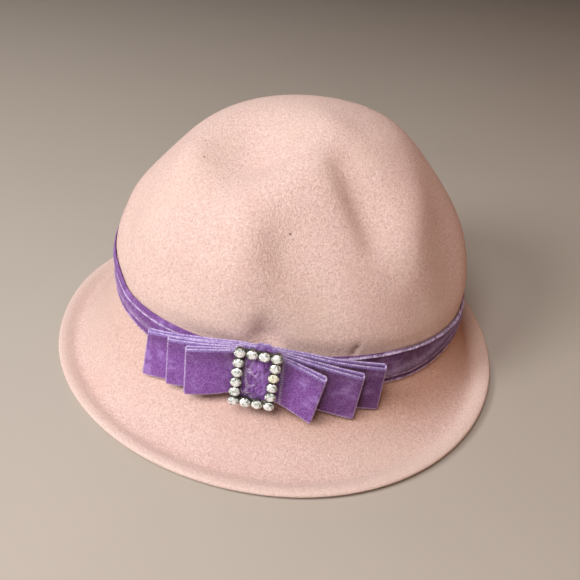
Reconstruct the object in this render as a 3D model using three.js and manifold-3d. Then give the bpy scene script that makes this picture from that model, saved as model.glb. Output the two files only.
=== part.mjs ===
// A cloche hat of blocked felt, trimmed with a pleated velvet ribbon, a bow of three flattened loops
// and a slide buckle of set stones. Millimetres, +Z up. The origin lies on the surface that the hat
// rests on, in the middle of the brim's outline; -Y is the side with the bow and +X is to its right.
// The functions below measure from the middle of the crown, and the group moves all to that origin.

import * as THREE from 'three';
import Module from 'manifold-3d';
import { LoftGeometry } from 'three/addons/geometries/LoftGeometry.js';
import { mergeVertices } from 'three/addons/utils/BufferGeometryUtils.js';

const wasm = await Module();
wasm.setup();

// Felt: crown and brim are one piece

const feltWall = 2.5;
const crownHalfWidth = 100.5;
const crownHalfDepth = 85.5;
const footSquareness = 2.15; // of the crown's foot: 2 is an ellipse, more is squarer
const roundAbove = 0.35; // share of crownHeight at which the crown has turned into an ellipse
const crownSwell = 1.016; // how much deeper than wide the crown grows over the ribbon
const swellHeight = 0.12; // share of crownHeight at which it has that depth
const crownHeight = 95.2; // from the ribbon's top edge to the top of the crown
const heldRound = 0.07; // share of crownHeight over which the ribbon still holds the felt out of the dents
const crownLeanRight = 2; // how far the top of the crown sits to the right of its foot
const ribbonLineHeight = 47; // the ribbon's top edge over the table, at the middle of the crown
const ribbonLineTilt = THREE.MathUtils.degToRad(5.3); // the left side is the higher one
const ribbonSideLift = 9; // how much higher than this line the ribbon runs at the very left
const sideLiftStart = 0.88; // share of the way from the middle to the left at which that begins
const brimReach = { left: 38.8, right: 21.9, front: 50, back: 34.3 };
// The brim's outline by corner: 2 is an ellipse, more is squarer
const brimSquareness = { frontLeft: 1.93, frontRight: 2.06, backLeft: 2.3, backRight: 2.15 };
const rimWidth = 11; // from the inside of the ring that the hat rests on to the turned-up edge
const restingWidth = 3; // of that ring
const rimRise = 4;
const rimCurl = 1.4; // 1 is a straight slope, more turns up later

// Ribbon round the crown

const bandWidth = 21.5; // at the bow, where it is widest
const bandThickness = 2.1; // over the deepest pleat
const clearance = 0.3; // between any two pieces
const plyGap = 0.35; // between two plies of the bow where the tab holds them

// Bow

const bowAngle = THREE.MathUtils.degToRad(-103.4);
const bowRibbonWidth = 28;
const bowRibbonThickness = 1;
const bowDrop = 7.8; // from the ribbon line to the middle of the bow
const bowLean = 1.5; // how much further the bow's lower edge stands out than its upper edge
const flareCurve = 1.1; // how late a loop leaves the felt on its way out to the fold: 1 is even
const hangCurve = 1.4; // how late it bends down
const foldGap = 0.5; // opening between the two plies at a loop's fold

// Buckle and stones

const stoneDiameter = 5.3;
const stonePitch = 5.8;
const stoneColumns = 4;
const stoneRows = 6;
const stoneTableShare = 0.56;
const stoneCrown = 1;
const stonePavilion = 1.7;
const stoneSides = 8;
const stoneTurn = Math.PI / stoneSides;
const cupWall = 0.3;
const buckleThickness = 2.4;
const buckleBarThickness = 1.3;
const buckleBarWidth = 3.6;
const buckleRise = 2.2; // the buckle's middle over the bow's middle
const tabWidth = 15.5;
const tabThickness = 1;
const tabBulge = 0.8;
const tabTopBeyondBuckle = 1.6;

// Fineness of the faceted surfaces

const segmentsRound = 60;
const frontCrowding = 0.45; // more of the segments lie on the front, where the bow and the dents are
const searchRounds = 20;
const outwardStep = 0.004; // over which a surface's outward direction is measured
const plySteps = 9;
const foldSteps = 3;

// Half-widths of the crown at each height: heights are shares of crownHeight, and left and right are
// shares of crownHalfWidth
const crownSections = [
  { height: 0.0, left: 1.0, right: 1.0 },
  { height: 0.05, left: 0.995, right: 1.002 },
  { height: 0.12, left: 0.985, right: 1.006 },
  { height: 0.25, left: 0.956, right: 0.985 },
  { height: 0.4, left: 0.912, right: 0.925 },
  { height: 0.55, left: 0.807, right: 0.822 },
  { height: 0.7, left: 0.685, right: 0.695 },
  { height: 0.82, left: 0.576, right: 0.583 },
  { height: 0.91, left: 0.445, right: 0.468 },
  { height: 0.97, left: 0.267, right: 0.293 },
  { height: 0.995, left: 0.119, right: 0.129 },
  { height: 1.0, left: 0, right: 0 },
];

// Dents and ridges in the felt: angle in degrees round the crown and height as a share of crownHeight
// give the middle, across and along are half-sizes and depth is how far it goes in, all shares of
// crownHeight, and turn is in degrees from the upright; a negative depth is a ridge
const dents = [
  { name: 'thumb dent', angle: -137, height: 0.926, across: 0.23, along: 0.235, depth: 0.113, turn: 28 },
  { name: 'pinch beside it', angle: -120, height: 0.863, across: 0.1, along: 0.21, depth: 0.043, turn: -44 },
  { name: 'left shoulder', angle: -155, height: 0.76, across: 0.153, along: 0.188, depth: -0.058, turn: 26 },
  { name: 'swell at top', angle: -71, height: 0.972, across: 0.118, along: 0.2, depth: -0.028, turn: -3 },
  { name: 'long groove', angle: -67.4, height: 0.74, across: 0.106, along: 0.317, depth: 0.053, turn: 12 },
  { name: 'ridge at right', angle: -48.3, height: 0.615, across: 0.133, along: 0.27, depth: -0.047, turn: -32 },
  { name: 'right hollow', angle: -32.8, height: 0.37, across: 0.155, along: 0.28, depth: 0.038, turn: -10 },
  { name: 'fold at right', angle: -44, height: 0.435, across: 0.097, along: 0.31, depth: 0.014, turn: 12 },
  { name: 'swell at left', angle: -110.5, height: 0.52, across: 0.203, along: 0.328, depth: -0.053, turn: -5 },
  { name: 'middle hollow', angle: -100.8, height: 0.53, across: 0.122, along: 0.16, depth: 0.039, turn: -4 },
  { name: 'lower hollow', angle: -88, height: 0.4, across: 0.2, along: 0.234, depth: 0.06, turn: 17.5 },
  { name: 'ridge in hollow', angle: -82, height: 0.482, across: 0.112, along: 0.154, depth: -0.014, turn: 16 },
  { name: 'front dimple', angle: -102, height: 0.11, across: 0.064, along: 0.102, depth: 0.056, turn: 22 },
  { name: 'crease at left', angle: -168.5, height: 0.37, across: 0.115, along: 0.154, depth: 0.033, turn: 14 },
  { name: 'crease at right', angle: -54.6, height: 0.16, across: 0.043, along: 0.139, depth: 0.01, turn: 21 },
];

// Fall of the brim from the crown's foot to the ring that it rests on: out is a share of the way to that
// ring and fall a share of the height
const brimFall = [
  { out: 0, fall: 0 },
  { out: 0.06, fall: 0.13 },
  { out: 0.2, fall: 0.31 },
  { out: 0.45, fall: 0.59 },
  { out: 0.7, fall: 0.84 },
  { out: 0.88, fall: 0.965 },
  { out: 1, fall: 1 },
];

// Height of the rim round the hat, a share of rimRise
const rimHeights = [
  { angle: -180, rise: 1.2 },
  { angle: -90, rise: 1 },
  { angle: 0, rise: 0.9 },
  { angle: 90, rise: 1 },
  { angle: 180, rise: 1.2 },
];

// The band round the hat: width is a share of bandWidth, and upper and lower are the places of the two
// pleat edges, shares of the band's width down from its top edge
const bandPleats = [
  { angle: -180, width: 0.72, upper: 0.24, lower: 0.66 },
  { angle: -150, width: 0.76, upper: 0.24, lower: 0.68 },
  { angle: -120, width: 0.9, upper: 0.2, lower: 0.72 },
  { angle: -90, width: 1, upper: 0.15, lower: 0.8 },
  { angle: -60, width: 0.93, upper: 0.14, lower: 0.82 },
  { angle: -30, width: 0.7, upper: 0.14, lower: 0.55 },
  { angle: 0, width: 0.58, upper: 0.16, lower: 0.45 },
  { angle: 90, width: 0.66, upper: 0.2, lower: 0.6 },
  { angle: 180, width: 0.72, upper: 0.24, lower: 0.66 },
];

// Section of the band from its top edge round its face to its bottom edge: beside says from which edge a
// point is measured, down is a share of the band's width there and out a share of bandThickness
const bandOutline = [
  { beside: 'top', down: 0, out: 0 },
  { beside: 'top', down: 0, out: 0.62 },
  { beside: 'upper', down: -0.03, out: 0.95 },
  { beside: 'upper', down: 0.02, out: 0.55 },
  { beside: 'lower', down: -0.03, out: 1 },
  { beside: 'lower', down: 0.02, out: 0.55 },
  { beside: 'bottom', down: -0.05, out: 0.75 },
  { beside: 'bottom', down: 0, out: 0.45 },
  { beside: 'bottom', down: 0, out: 0 },
];

// Bow loops from the felt outwards, by side: reach is the length along the crown to the fold, stand how far
// the fold's front stands off the felt, drop how far the fold hangs below the bow's middle, slant how much
// further out the fold's lower corner is, lean how much further off the felt it stands, and rise how much
// higher the back ply lies; all are shares of bowRibbonWidth
const bowLoops = [
  {
    name: 'bow_loop_long',
    left: { reach: 1.96, stand: 0.375, drop: 0.38, slant: 0.09, lean: 0.14, rise: 0.03 },
    right: { reach: 2.1, stand: 0.4, drop: 0.2, slant: -0.04, lean: 0.0, rise: 0.06 },
  },
  {
    name: 'bow_loop_middle',
    left: { reach: 1.45, stand: 0.455, drop: 0.21, slant: 0.03, lean: 0.1, rise: 0.03 },
    right: { reach: 1.655, stand: 0.52, drop: 0.26, slant: -0.1, lean: 0.0, rise: 0.06 },
  },
  {
    name: 'bow_loop_short',
    left: { reach: 1.08, stand: 0.55, drop: 0.17, slant: 0.03, lean: 0.08, rise: 0.03 },
    right: { reach: 0.975, stand: 0.63, drop: 0.24, slant: -0.2, lean: 0.04, rise: 0.06 },
  },
];

// Colours

const feltMaterial = new THREE.MeshStandardMaterial({ color: 0xe3bfb2, roughness: 0.95, metalness: 0 });
const velvetMaterial = new THREE.MeshStandardMaterial({ color: 0x6d4396, roughness: 0.8, metalness: 0 });
const buckleMaterial = new THREE.MeshStandardMaterial({ color: 0x77725f, roughness: 0.4, metalness: 0.9 });
const stoneMaterial = new THREE.MeshStandardMaterial({ color: 0xe9efe4, roughness: 0.05, metalness: 0 });

// Small tools

// A value read from a table between its rows, with a smooth step from row to row
function readTable(table, key, column, at) {
  const next = table.findIndex((row) => row[key] >= at);
  if (next <= 0) return table[next === 0 ? 0 : table.length - 1][column];
  const [before, after] = [table[next - 1], table[next]];
  const share = (at - before[key]) / (after[key] - before[key]);
  const smooth = share * share * (3 - 2 * share);
  return THREE.MathUtils.lerp(before[column], after[column], smooth);
}

// The same, in straight steps
function readLine(table, key, column, at) {
  const next = table.findIndex((row) => row[key] >= at);
  if (next <= 0) return table[next === 0 ? 0 : table.length - 1][column];
  const [before, after] = [table[next - 1], table[next]];
  return THREE.MathUtils.mapLinear(at, before[key], after[key], before[column], after[column]);
}

// Angles round the hat, closer together at the front, in degrees from -180 to 180 and in radians
const angles = Array.from({ length: segmentsRound }, (_, index) => {
  const even = (index / segmentsRound) * 2 * Math.PI;
  const radians = even - frontCrowding * Math.cos(even);
  const degrees = THREE.MathUtils.euclideanModulo(THREE.MathUtils.radToDeg(radians) + 180, 360) - 180;
  return { radians, degrees };
});

function sideLift(x) {
  return ribbonSideLift * THREE.MathUtils.smoothstep(-x / crownHalfWidth, sideLiftStart, 1);
}

function tiltedLine(x) {
  return ribbonLineHeight - Math.tan(ribbonLineTilt) * x;
}

// Height of the ribbon's top edge
function ribbonLine(x) {
  return tiltedLine(x) + sideLift(x);
}

// How far the crown's foot reaches at an angle, as a share of an ellipse's reach
function cornerReach(angle) {
  const [across, deep] = [Math.abs(Math.cos(angle)), Math.abs(Math.sin(angle))];
  return (across ** footSquareness + deep ** footSquareness) ** (-1 / footSquareness);
}

function footAt(angle) {
  const foot = new THREE.Vector2(crownHalfWidth * Math.cos(angle), crownHalfDepth * Math.sin(angle));
  return foot.multiplyScalar(cornerReach(angle));
}

// Crown wall under the ribbon, measured round from the middle of the bow
class WallCurve extends THREE.Curve {
  getPoint(share) {
    return footAt(bowAngle + share * 2 * Math.PI);
  }
}

const wallCurve = new WallCurve();
wallCurve.arcLengthDivisions = 720;
const wallLength = wallCurve.getLength();

// The point at a length along the wall and a distance off it
function offWall(along, stand) {
  const share = THREE.MathUtils.euclideanModulo(along / wallLength, 1);
  const point = wallCurve.getPointAt(share);
  const tangent = wallCurve.getTangentAt(share);
  return new THREE.Vector2(point.x + tangent.y * stand, point.y - tangent.x * stand);
}

// Felt body

const crownCurve = new THREE.CatmullRomCurve3(
  crownSections.map((row) => new THREE.Vector3(row.left, row.right, row.height)).reverse(),
  false,
  'centripetal',
);

// Left and right half-widths and height at a share of the way from the top to the foot
function crownSectionAt(share) {
  const { x: left, y: right, z: height } = crownCurve.getPoint(THREE.MathUtils.clamp(share, 0, 1));
  return { left, right, height };
}

function plainCrown(share, angle) {
  const { left, right, height } = crownSectionAt(share);
  const across = Math.cos(angle) > 0 ? right : left;
  const corner = THREE.MathUtils.lerp(cornerReach(angle), 1, THREE.MathUtils.smoothstep(height, 0, roundAbove));
  const x = crownHalfWidth * corner * across * Math.cos(angle) + crownLeanRight * height;
  const swell = THREE.MathUtils.lerp(1, crownSwell, THREE.MathUtils.smoothstep(height, 0, swellHeight));
  const y = crownHalfDepth * corner * swell * ((left + right) / 2) * Math.sin(angle);
  const z = tiltedLine(x * (1 - height)) + sideLift(x) * (1 - height) ** 2 + crownHeight * height;
  return new THREE.Vector3(x, y, z);
}

// The outward direction of a surface given by two parameters, away from the point at the very top
function outwardAt(surface, place, angle) {
  const share = Math.max(place, 2 * outwardStep);
  const around = surface(share, angle + outwardStep).sub(surface(share, angle - outwardStep));
  const along = surface(share + outwardStep, angle).sub(surface(share - outwardStep, angle));
  return along.cross(around).normalize();
}

// The share of the crown curve at which a height is reached
function crownShareAt(height) {
  let [low, high] = [0, 1];
  for (let round = 0; round < searchRounds; round += 1) {
    const middle = (low + high) / 2;
    if (crownSectionAt(middle).height > height) low = middle;
    else high = middle;
  }
  return low;
}

const dentFrames = dents.map((dent) => {
  const share = crownShareAt(dent.height);
  const angle = THREE.MathUtils.degToRad(dent.angle);
  const outward = outwardAt(plainCrown, share, angle);
  const level = new THREE.Vector3(-Math.sin(angle), Math.cos(angle), 0).projectOnPlane(outward).normalize();
  const upright = new THREE.Vector3().crossVectors(outward, level);
  const turn = THREE.MathUtils.degToRad(dent.turn);
  level.applyAxisAngle(outward, turn);
  upright.applyAxisAngle(outward, turn);
  return { dent, outward, level, upright, middle: plainCrown(share, angle) };
});

function dentedCrown(share, angle) {
  const point = plainCrown(share, angle);
  let depth = 0;
  for (const { dent, outward, level, upright, middle } of dentFrames) {
    const away = point.clone().sub(middle).divideScalar(crownHeight);
    const across = away.dot(level) / dent.across;
    const along = away.dot(upright) / dent.along;
    const through = away.dot(outward) / (dent.across + dent.along);
    depth += dent.depth * Math.exp(-(across ** 2 + along ** 2 + through ** 2));
  }
  depth *= THREE.MathUtils.smoothstep(crownSectionAt(share).height, 0, heldRound);
  return point.addScaledVector(outwardAt(plainCrown, share, angle), -depth * crownHeight);
}

// The crown's foot, and the brim's outer edge on the same ray from the middle
function brimEnds(angle) {
  const foot = footAt(angle);
  const halfWidth = crownHalfWidth + (foot.x < 0 ? brimReach.left : brimReach.right);
  const halfDepth = crownHalfDepth + (foot.y < 0 ? brimReach.front : brimReach.back);
  const corner = (foot.y < 0 ? 'front' : 'back') + (foot.x < 0 ? 'Left' : 'Right');
  const power = brimSquareness[corner];
  const scale = (Math.abs(foot.x / halfWidth) ** power + Math.abs(foot.y / halfDepth) ** power) ** (1 / power);
  return { foot, edge: foot.clone().divideScalar(scale) };
}

function degreesOf(angle) {
  return THREE.MathUtils.euclideanModulo(THREE.MathUtils.radToDeg(angle) + 180, 360) - 180;
}

function bandHeightAt(angle) {
  const plainWidth = bandWidth * readTable(bandPleats, 'angle', 'width', degreesOf(angle));
  return plainWidth + sideLift(footAt(angle).x);
}

function footHeight(angle) {
  return ribbonLine(footAt(angle).x) - bandHeightAt(angle);
}

const restingShare = restingWidth / rimWidth;

// Upper face of the brim: from 0 at the crown's foot to 1 at the resting ring, and to 2 at the edge
function brimTop(share, angle) {
  const { foot, edge } = brimEnds(angle);
  const reach = edge.distanceTo(foot);
  const slope = reach - rimWidth;
  const fall = readLine(brimFall, 'out', 'fall', THREE.MathUtils.clamp(share, 0, 1));
  const rim = THREE.MathUtils.clamp(share - 1, 0, 1);
  const out = share < 1 ? slope * share : slope + rimWidth * rim;
  const rise = rimRise * readTable(rimHeights, 'angle', 'rise', degreesOf(angle));
  const turnedUp = rise * Math.max(0, rim - restingShare) ** rimCurl;
  const height = THREE.MathUtils.lerp(footHeight(angle), feltWall, fall) + turnedUp;
  const place = foot.clone().lerp(edge, out / reach);
  return new THREE.Vector3(place.x, place.y, height);
}

function crownWall(share, angle) {
  const { x, y } = footAt(angle);
  return new THREE.Vector3(x, y, ribbonLine(x) - bandHeightAt(angle) * share);
}

function inside(surface) {
  return (share, angle) => {
    const point = surface(share, angle).addScaledVector(outwardAt(surface, share, angle), -feltWall);
    point.z = Math.max(point.z, 0);
    return point;
  };
}

// The ring that the brim rests on is flat
function restingRing(share, angle) {
  return brimTop(share, angle).setZ(0);
}

// The top of the crown as a ring of one point
function topRow(depth) {
  const top = dentedCrown(0, 0);
  return angles.map(() => top.clone().setZ(top.z - depth));
}

function rows(surface, shares) {
  return shares.map((share) => angles.map(({ radians }) => surface(share, radians)));
}

function evenShares(count, from, to) {
  return Array.from({ length: count }, (_, index) => from + ((to - from) * index) / (count - 1));
}

// Where the rows of faces lie, in shares along each surface, from the top over the outside to the inside
const crownSharesOut = evenShares(24, 0.04, 0.985);
const wallSharesOut = [0.04];
const restingShares = [1, 1 + restingShare];
const brimSharesOut = [0, 0.06, 0.2, 0.4, 0.62, 0.82, ...restingShares, 1.5, 1.75, 1.93];
const rimSharesIn = [1.9, 1.6];
const brimSharesIn = [0.8, 0.5, 0.22];
const wallSharesIn = [0.9, 0.1];
const crownSharesIn = evenShares(10, 0.97, 0.1);
const rimEdge = (share, angle) => brimTop(2, angle).setZ(brimTop(2, angle).z - feltWall / 2);

const feltBody = new LoftGeometry(
  [
    topRow(0),
    ...rows(dentedCrown, crownSharesOut),
    ...rows(crownWall, wallSharesOut),
    ...rows(brimTop, brimSharesOut),
    ...rows(rimEdge, [2]),
    ...rows(inside(brimTop), rimSharesIn),
    ...rows(restingRing, [...restingShares].reverse()),
    ...rows(inside(brimTop), brimSharesIn),
    ...rows(inside(crownWall), wallSharesIn),
    ...rows(inside(dentedCrown), crownSharesIn),
    topRow(feltWall),
  ].reverse(),
);

// Ribbon band: a closed ring whose section steps in below each pleat edge

function bandSection({ radians, degrees }) {
  const edges = {
    top: 0,
    upper: readTable(bandPleats, 'angle', 'upper', degrees),
    lower: readTable(bandPleats, 'angle', 'lower', degrees),
    bottom: 1,
  };
  const wall = crownWall(0, radians);
  const ahead = footAt(radians + outwardStep).sub(footAt(radians - outwardStep));
  const outward = new THREE.Vector3(ahead.y, -ahead.x, 0).normalize();
  const height = bandHeightAt(radians) - clearance;
  return bandOutline.map(({ beside, down, out }) => {
    const stand = clearance + out * bandThickness;
    return wall.clone().addScaledVector(outward, stand).setZ(wall.z - height * (edges[beside] + down));
  });
}

// A ring of sections that closes on itself
function closedLoft(sections) {
  return new LoftGeometry([...sections, sections[0]]);
}

const ribbonBand = closedLoft(angles.map(bandSection));

// Bow: each loop is a flattened ring of ribbon, laid over the one below it

const plyStep = bowRibbonThickness + plyGap;
const bowSeat = clearance + bandThickness + clearance + bowLean / 4; // the bow's back, off the felt

// The closed line that a loop follows, seen from above: place is the share of the reach, from -1 at the
// left fold to 1 at the right fold
function loopLine(loop, layer) {
  const base = bowSeat + layer * 2 * plyStep + plyStep + bowRibbonThickness / 2;
  const sideOf = (place) => (place < 0 ? loop.left : loop.right);
  const reachAt = (place) => sideOf(place).reach * bowRibbonWidth;
  const along = (place) => place * reachAt(place);
  // How far a place lies out of the tab's hold, from 0 under the tab to 1 at the fold
  const freeShare = (place) => {
    const held = tabWidth / 2;
    return Math.max(0, (Math.abs(along(place)) - held) / (reachAt(place) - held));
  };
  const frontStand = (place) => {
    const fold = sideOf(place).stand * bowRibbonWidth - bowRibbonThickness / 2;
    return THREE.MathUtils.lerp(base, fold, freeShare(place) ** flareCurve);
  };
  const gap = (place) => plyStep + (foldGap - plyGap) * freeShare(place);
  const front = evenShares(2 * plySteps + 1, -1, 1).map((place) => {
    return { place, along: along(place), stand: frontStand(place), far: freeShare(place), back: 0 };
  });
  const back = [...front].reverse().map((point) => {
    return { ...point, stand: point.stand - gap(point.place), back: 1 };
  });
  const fold = (side) => {
    const radius = gap(side) / 2;
    return Array.from({ length: foldSteps }, (_, index) => {
      const share = (index + 1) / (foldSteps + 1);
      const turn = side > 0 ? Math.PI * share : Math.PI * (1 - share);
      const bulge = side * radius * Math.sin(turn);
      const stand = frontStand(side) - radius + radius * Math.cos(turn);
      return { place: side, along: along(side) + bulge, stand, far: 1, back: (1 - Math.cos(turn)) / 2 };
    });
  };
  return [...front, ...fold(1), ...back, ...fold(-1)];
}

function loopSections(loop, layer) {
  const line = loopLine(loop, layer);
  const heights = [0.5, 0, -0.5];
  return line.map((here, index) => {
    const before = line[(index + line.length - 1) % line.length];
    const after = line[(index + 1) % line.length];
    const normal = new THREE.Vector2(-(after.stand - before.stand), after.along - before.along).normalize();
    const side = here.place < 0 ? loop.left : loop.right;
    const { far, back } = here;
    const corner = (height, face) => {
      const slant = -height * side.slant * bowRibbonWidth * far * Math.sign(here.place);
      const lean = -height * THREE.MathUtils.lerp(bowLean, side.lean * bowRibbonWidth, far);
      const along = here.along + slant + normal.x * face * (bowRibbonThickness / 2);
      const stand = here.stand + lean + normal.y * face * (bowRibbonThickness / 2);
      const place = offWall(along, stand);
      const drop = side.drop * far ** hangCurve - side.rise * far * back - height;
      return new THREE.Vector3(place.x, place.y, ribbonLine(place.x) - bowDrop - drop * bowRibbonWidth);
    };
    return [
      ...heights.map((height) => corner(height, 1)),
      ...[...heights].reverse().map((height) => corner(height, -1)),
    ];
  });
}

// Buckle: an open frame with a cup for each stone, in its own frame: X along the bow, Y up, Z outwards

const stonePlaces = [];
for (let row = 0; row < stoneRows; row += 1) {
  for (let column = 0; column < stoneColumns; column += 1) {
    const onEdge = row === 0 || row === stoneRows - 1 || column === 0 || column === stoneColumns - 1;
    const x = (column - (stoneColumns - 1) / 2) * stonePitch;
    const y = ((stoneRows - 1) / 2 - row) * stonePitch;
    if (onEdge) stonePlaces.push({ x, y });
  }
}

function toSolid(geometry) {
  const bare = geometry.clone();
  bare.deleteAttribute('normal');
  bare.deleteAttribute('uv');
  const merged = mergeVertices(bare, 1e-4);
  const vertProperties = new Float32Array(merged.attributes.position.array);
  const triVerts = new Uint32Array(merged.index.array);
  return new wasm.Manifold(new wasm.Mesh({ numProp: 3, vertProperties, triVerts }));
}

function toGeometry(solid) {
  const { vertProperties, triVerts } = solid.getMesh();
  const geometry = new THREE.BufferGeometry();
  geometry.setAttribute('position', new THREE.BufferAttribute(vertProperties, 3));
  geometry.setIndex(new THREE.BufferAttribute(triVerts, 1));
  geometry.computeVertexNormals();
  return geometry;
}

function rectangle(shape, halfWidth, halfHeight) {
  shape.moveTo(-halfWidth, -halfHeight);
  shape.lineTo(halfWidth, -halfHeight);
  shape.lineTo(halfWidth, halfHeight);
  shape.lineTo(-halfWidth, halfHeight);
  shape.closePath();
  return shape;
}

// A cone or prism along Z from its lower end at z, with the stones' number of sides and a flat side facing
// each neighbour
function facetedAlongZ(topRadius, bottomRadius, height, { x, y, z }) {
  const geometry = new THREE.CylinderGeometry(topRadius, bottomRadius, height, stoneSides);
  geometry.rotateY(stoneTurn);
  geometry.rotateX(Math.PI / 2);
  return geometry.translate(x, y, z + height / 2);
}

function buckleFrame() {
  const halfWidth = ((stoneColumns - 1) / 2) * stonePitch;
  const halfHeight = ((stoneRows - 1) / 2) * stonePitch;
  const halfBar = buckleBarWidth / 2;
  const outline = rectangle(new THREE.Shape(), halfWidth + halfBar, halfHeight + halfBar);
  outline.holes.push(rectangle(new THREE.Path(), halfWidth - halfBar, halfHeight - halfBar));
  const bars = new THREE.ExtrudeGeometry(outline, { depth: buckleBarThickness, bevelEnabled: false });
  let solid = toSolid(bars);
  // The girdle lies just over the cup's rim, and the seat follows the pavilion below it
  const girdleRadius = stoneDiameter / 2;
  const seatRadius = girdleRadius * (1 - clearance / stonePavilion) + clearance;
  const cupRadius = seatRadius + cupWall;
  for (const { x, y } of stonePlaces) {
    const cup = facetedAlongZ(cupRadius, cupRadius - cupWall, buckleThickness, { x, y, z: 0 });
    solid = solid.add(toSolid(cup));
  }
  for (const { x, y } of stonePlaces) {
    const z = buckleThickness - stonePavilion;
    const seat = facetedAlongZ(seatRadius, clearance, stonePavilion, { x, y, z });
    solid = solid.subtract(toSolid(seat));
  }
  return toGeometry(solid);
}

// A round stone with a flat table, eight crown facets and eight pavilion facets, its girdle at Z 0
function stoneGeometry() {
  const radius = stoneDiameter / 2;
  const profile = [
    new THREE.Vector2(0, -stonePavilion),
    new THREE.Vector2(radius, 0),
    new THREE.Vector2(radius * stoneTableShare, stoneCrown),
    new THREE.Vector2(0, stoneCrown),
  ];
  return new THREE.LatheGeometry(profile, stoneSides, stoneTurn).rotateX(Math.PI / 2);
}

// Tab of ribbon that the buckle slides on: it shows in the buckle's window and over its upper edge
function centreTab() {
  const halfBuckle = ((stoneRows - 1) / 2) * stonePitch + stoneDiameter / 2;
  const sections = evenShares(7, halfBuckle + tabTopBeyondBuckle, -halfBuckle).map((y) => {
    const bulge = tabBulge * Math.max(0, 1 - (y / (halfBuckle - stoneDiameter)) ** 2);
    return [
      new THREE.Vector3(-tabWidth / 2, y, -tabThickness),
      new THREE.Vector3(tabWidth / 2, y, -tabThickness),
      new THREE.Vector3(tabWidth / 2, y, 0),
      new THREE.Vector3(tabWidth / 4, y, bulge),
      new THREE.Vector3(-tabWidth / 4, y, bulge),
      new THREE.Vector3(-tabWidth / 2, y, 0),
    ];
  });
  return new LoftGeometry(sections, { capStart: true, capEnd: true });
}

// The whole hat, with its box's middle over the origin

const hat = new THREE.Group();
hat.position.x = (brimReach.left - brimReach.right) / 2;
hat.position.y = (brimReach.front - brimReach.back) / 2;

function addMesh(parent, name, geometry, material) {
  const mesh = new THREE.Mesh(geometry, material);
  mesh.name = name;
  parent.add(mesh);
  return mesh;
}

addMesh(hat, 'felt_body', feltBody, feltMaterial);
addMesh(hat, 'ribbon_band', ribbonBand, velvetMaterial);
bowLoops.forEach((loop, layer) => {
  addMesh(hat, loop.name, closedLoft(loopSections(loop, layer)), velvetMaterial);
});

// The buckle's group sits on the front of the top loop, leaning as the bow does
const bowFront = bowSeat + bowLoops.length * 2 * plyStep;
const buckleGroup = new THREE.Group();
const bowMiddle = offWall(0, bowFront + tabThickness + clearance);
const bowOutward = offWall(0, 1).sub(offWall(0, 0));
const lean = Math.atan(bowLean / bowRibbonWidth);
const roll = Math.atan(Math.tan(ribbonLineTilt) * Math.abs(bowOutward.y));
buckleGroup.position.set(bowMiddle.x, bowMiddle.y, ribbonLine(bowMiddle.x) - bowDrop + buckleRise);
buckleGroup.rotation.set(Math.PI / 2 - lean, 0, 0);
buckleGroup.rotation.order = 'ZXY';
buckleGroup.rotation.z = Math.atan2(bowOutward.y, bowOutward.x) + Math.PI / 2;
hat.add(buckleGroup);

const level = new THREE.Group();
level.rotation.z = -roll;
buckleGroup.add(level);

addMesh(level, 'centre_tab', centreTab(), velvetMaterial);
const buckle = addMesh(level, 'buckle_frame', buckleFrame(), buckleMaterial);
buckle.position.z = tabBulge + clearance;
stonePlaces.forEach(({ x, y }, index) => {
  const name = `stone_${String(index + 1).padStart(2, '0')}`;
  const stone = addMesh(level, name, stoneGeometry(), stoneMaterial);
  stone.position.set(x, y, buckle.position.z + buckleThickness + clearance);
});

export default hat;
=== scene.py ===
import bpy
import math
from mathutils import Matrix, Vector, noise


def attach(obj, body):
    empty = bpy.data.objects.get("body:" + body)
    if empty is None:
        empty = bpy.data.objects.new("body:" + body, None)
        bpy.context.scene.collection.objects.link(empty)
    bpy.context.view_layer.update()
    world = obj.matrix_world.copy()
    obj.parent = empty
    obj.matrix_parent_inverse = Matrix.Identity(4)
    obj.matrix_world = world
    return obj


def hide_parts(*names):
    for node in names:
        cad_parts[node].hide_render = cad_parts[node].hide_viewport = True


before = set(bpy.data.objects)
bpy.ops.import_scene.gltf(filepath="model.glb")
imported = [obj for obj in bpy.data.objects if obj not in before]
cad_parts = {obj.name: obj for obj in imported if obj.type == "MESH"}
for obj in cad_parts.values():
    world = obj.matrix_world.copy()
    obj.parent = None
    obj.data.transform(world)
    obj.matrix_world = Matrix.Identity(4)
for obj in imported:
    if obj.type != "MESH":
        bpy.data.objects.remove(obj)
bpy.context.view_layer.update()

# Cloche hat: a felt body, a pleated velvet band, a bow of three loops and a slide buckle of set stones.
# Metres. The crown's middle stands a little right of and behind the origin.

hat = {
    "middle": (0.00845, 0.00785),
    "halfWidth": 0.1005,
    "halfDepth": 0.0855,
    "squareness": 2.15,
    "lineHeight": 0.047,
    "lineTilt": math.radians(5.3),
    "sideLift": 0.009,
    "sideLiftStart": 0.88,
    "bandWidth": 0.0215,
    "bowAngle": math.radians(-103.4),
    "clearance": 0.0003,
    "tangentStep": 0.004,     # radians
}

weldDistance = 0.00001
millimetres = 1000     # in a metre


# Small tools

def startClean():
    if bpy.context.mode != "OBJECT":
        bpy.ops.object.mode_set(mode="OBJECT")
    bpy.ops.object.select_all(action="DESELECT")


def select(*pieces):
    startClean()
    for piece in pieces:
        piece.select_set(True)
    bpy.context.view_layer.objects.active = pieces[0]


def named(name):
    piece = bpy.context.object
    piece.name = name
    piece.data.name = name
    return piece


def applyPlace(piece):
    select(piece)
    bpy.ops.object.transform_apply(location=True, rotation=True, scale=True)


def addModifier(piece, kind, **values):
    modifier = piece.modifiers.new(kind.title(), kind)
    for key, value in values.items():
        setattr(modifier, key, value)
    return modifier


def applyModifiers(piece):
    select(piece)
    for modifier in list(piece.modifiers):
        bpy.ops.object.modifier_apply(modifier=modifier.name)


def smoothStep(low, high, value):
    share = min(1, max(0, (value - low) / (high - low)))
    return share * share * (3 - 2 * share)


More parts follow.
